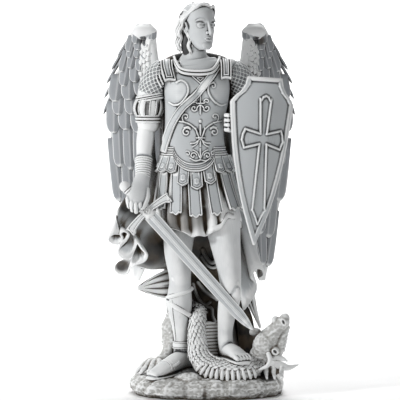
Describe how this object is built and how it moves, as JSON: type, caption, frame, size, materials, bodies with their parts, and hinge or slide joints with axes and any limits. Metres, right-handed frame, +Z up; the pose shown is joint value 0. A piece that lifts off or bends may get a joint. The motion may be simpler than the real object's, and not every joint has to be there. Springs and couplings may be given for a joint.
{
  "type": "winged saint statue",
  "caption": "Garden statue of an armoured, winged saint with sword and shield, standing on a coiled dragon on a rock base, cast in antiqued resin stone.",
  "frame": {"origin": "middle of the flat underside of the rock base", "axes": "+Z up through the figure; the figure faces -Y; +X is to the right of someone who faces the statue"},
  "size_m": [0.3114, 0.1742, 0.6213],
  "materials": {
    "antiqued_stone": "matt, with a dark wash in the hollows"
  },
  "bodies": {
    "root": {"statue": "antiqued_stone"}
  },
  "joints": []
}
